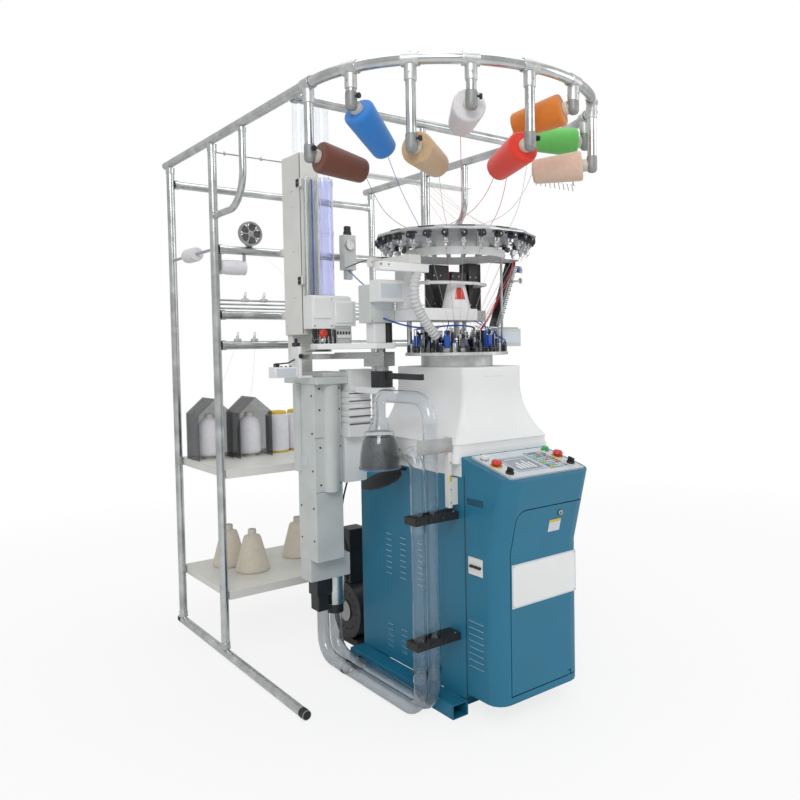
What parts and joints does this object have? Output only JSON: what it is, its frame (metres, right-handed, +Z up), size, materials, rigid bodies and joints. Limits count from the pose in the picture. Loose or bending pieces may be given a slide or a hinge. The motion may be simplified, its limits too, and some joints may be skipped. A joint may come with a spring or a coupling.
{
  "type": "circular sock knitting machine with toe-closing device",
  "caption": "Circular knitting machine for socks: needle cylinder and cam ring on a blue cabinet, sloping console, yarn creel ring with packages, and a toe-closing device with clear tubes.",
  "frame": {"origin": "on the floor under the needle cylinder's axis, at the middle floor cross bar's underside", "axes": "+Z up, +X to the right along the console's front as its user sees it, +Y towards the rear where the creel shelves are"},
  "size_m": [1.2112, 2.1375, 2.4949],
  "materials": {
    "blue_paint": "satin",
    "cream_paint": "satin",
    "grey_paint": "satin",
    "black_paint": "satin",
    "bright_tube": "polished",
    "machined_steel": "machined",
    "cast_aluminium": "cast",
    "black_plastic": "moulded",
    "white_plastic": "moulded",
    "green_plastic": "moulded",
    "red_plastic": "moulded",
    "panel_plastic": "moulded",
    "clear_acrylic": "polished",
    "belt_rubber": "moulded",
    "wound_yarn": "wound",
    "elastic_yarn": "wound"
  },
  "bodies": {
    "machine": {"base_frame": "blue_paint", "cabinet": "blue_paint", "side_louvres": "blue_paint", "cabinet_plinth": "cream_paint", "head_housing": "cream_paint", "console_shell": "blue_paint", "control_panel": "panel_plastic", "breaker_body": "white_plastic", "drive_unit": "grey_paint", "drive_belt": "belt_rubber", "head_bed": "cast_aluminium", "cam_ring": "machined_steel", "head_platform": "cast_aluminium", "dial_cover": "cream_paint", "head_drives": "black_paint", "guide_ring": "machined_steel", "feeder_plate": "cast_aluminium", "yarn_sensors": "black_plastic", "suction_hose": "white_plastic", "creel_ring": "bright_tube", "tee_fittings": "cast_aluminium", "package_holders": "grey_paint", "yarn_packages": "wound_yarn", "creel_frame": "bright_tube", "yarn_guides": "machined_steel", "creel_shelves": "cream_paint", "shelf_yarn": "elastic_yarn", "bobbin_covers": "clear_acrylic", "hanging_post": "bright_tube", "station_duct": "cream_paint", "station_column": "cream_paint", "linking_head": "cream_paint", "toe_frame": "cream_paint", "arm_motor": "cream_paint", "clear_tubes": "clear_acrylic", "transport_pipes": "clear_acrylic", "transfer_bell": "clear_acrylic", "pipe_brackets": "black_plastic", "air_units": "black_paint"},
    "door": {"console_door": "blue_paint"},
    "lock": {"door_lock": "machined_steel"},
    "white_push": {"white_button": "white_plastic"},
    "green_push": {"green_button": "green_plastic"},
    "left_stop": {"left_stop_button": "red_plastic"},
    "right_stop": {"right_stop_button": "red_plastic"},
    "left_selector": {"left_selector_knob": "black_plastic"},
    "right_selector": {"right_selector_knob": "black_plastic"},
    "breaker": {"breaker_lever": "black_plastic"},
    "motor_rotor": {"motor_pulley": "machined_steel"},
    "cylinder": {"needle_cylinder": "machined_steel"},
    "dial": {"needle_dial": "machined_steel"},
    "tension_wheel": {"yarn_wheel": "black_plastic"},
    "rail_spool": {"elastic_spool": "elastic_yarn"},
    "rod_spool": {"side_spool": "elastic_yarn"},
    "column_cover": {"column_door": "cream_paint"},
    "toe_stop": {"toe_stop_button": "red_plastic"},
    "linking": {"linking_dial": "machined_steel"},
    "pickup_arm": {"swing_arm": "cast_aluminium"},
    "lever": {"hand_lever": "black_paint"},
    "flap": {"bell_flap": "black_plastic"}
  },
  "joints": [
    {"name": "cylinder_spin", "type": "hinge", "parent": "machine", "child": "cylinder", "pos_m": [0, 0, 1.33], "axis": [0, 0, 1], "continuous": true},
    {"name": "dial_spin", "type": "hinge", "parent": "machine", "child": "dial", "pos_m": [0, 0, 1.51], "axis": [0, 0, 1], "continuous": true},
    {"name": "motor_spin", "type": "hinge", "parent": "machine", "child": "motor_rotor", "pos_m": [0, 0.14, 1.165], "axis": [0, 0, 1], "continuous": true},
    {"name": "console_door_hinge", "type": "hinge", "parent": "machine", "child": "door", "pos_m": [0, -0.479, 0.116], "axis": [1, 0, 0], "range_deg": [0, 90]},
    {"name": "lock_turn", "type": "hinge", "parent": "door", "child": "lock", "pos_m": [0.07, -0.507, 0.757], "axis": [0, -1, 0], "range_deg": [0, 90]},
    {"name": "white_push_slide", "type": "slide", "parent": "machine", "child": "white_push", "axis": [0, 0.2382, -0.9712], "range_m": [0, 0.004], "stiffness_N_per_m": 300, "springref_m": -0.002},
    {"name": "green_push_slide", "type": "slide", "parent": "machine", "child": "green_push", "axis": [0, 0.2382, -0.9712], "range_m": [0, 0.004], "stiffness_N_per_m": 300, "springref_m": -0.002},
    {"name": "left_stop_slide", "type": "slide", "parent": "machine", "child": "left_stop", "axis": [0, 0.2382, -0.9712], "range_m": [0, 0.004], "stiffness_N_per_m": 300, "springref_m": -0.003},
    {"name": "right_stop_slide", "type": "slide", "parent": "machine", "child": "right_stop", "axis": [0, 0.2382, -0.9712], "range_m": [0, 0.004], "stiffness_N_per_m": 300, "springref_m": -0.003},
    {"name": "left_selector_turn", "type": "hinge", "parent": "machine", "child": "left_selector", "pos_m": [-0.16, -0.49478, 0.91977], "axis": [0, -0.2382, 0.9712], "range_deg": [-45, 45]},
    {"name": "right_selector_turn", "type": "hinge", "parent": "machine", "child": "right_selector", "pos_m": [0.162, -0.48507, 0.92215], "axis": [0, -0.2382, 0.9712], "range_deg": [-45, 45]},
    {"name": "breaker_throw", "type": "hinge", "parent": "machine", "child": "breaker", "pos_m": [-0.205, -0.3615, 0.572], "axis": [0, 1, 0], "range_deg": [-20, 20]},
    {"name": "tension_wheel_spin", "type": "hinge", "parent": "machine", "child": "tension_wheel", "pos_m": [-0.535, 0.8177, 1.902], "axis": [0, 1, 0], "continuous": true},
    {"name": "rail_spool_spin", "type": "hinge", "parent": "machine", "child": "rail_spool", "pos_m": [-0.615, 0.835, 1.748], "axis": [1, 0, 0], "continuous": true},
    {"name": "rod_spool_spin", "type": "hinge", "parent": "machine", "child": "rod_spool", "pos_m": [-0.694, 1.115, 1.825], "axis": [0, 1, 0], "continuous": true},
    {"name": "column_cover_hinge", "type": "hinge", "parent": "machine", "child": "column_cover", "pos_m": [-0.45, 0.485, 1.86], "axis": [0, 0, 1], "range_deg": [0, 110]},
    {"name": "toe_stop_slide", "type": "slide", "parent": "machine", "child": "toe_stop", "axis": [0, 1, 0], "range_m": [0, 0.004], "stiffness_N_per_m": 300, "springref_m": -0.003},
    {"name": "linking_spin", "type": "hinge", "parent": "machine", "child": "linking", "pos_m": [-0.39, 0.47, 1.48], "axis": [0, 0, 1], "continuous": true},
    {"name": "pickup_arm_swing", "type": "hinge", "parent": "machine", "child": "pickup_arm", "pos_m": [-0.25, 0.19, 1.33], "axis": [0, 0, 1], "range_deg": [-85, 0]},
    {"name": "lever_turn", "type": "hinge", "parent": "machine", "child": "lever", "pos_m": [-0.25, 0.19, 1.25], "axis": [0, 0, 1], "range_deg": [-40, 15]},
    {"name": "flap_swing", "type": "hinge", "parent": "machine", "child": "flap", "pos_m": [-0.229, 0.09, 0.885], "axis": [0, 1, 0], "range_deg": [-50, 20]}
  ],
  "couplings": [
    {"joint": "dial_spin", "follows": "cylinder_spin", "ratio": 1},
    {"joint": "motor_spin", "follows": "cylinder_spin", "ratio": 2}
  ]
}
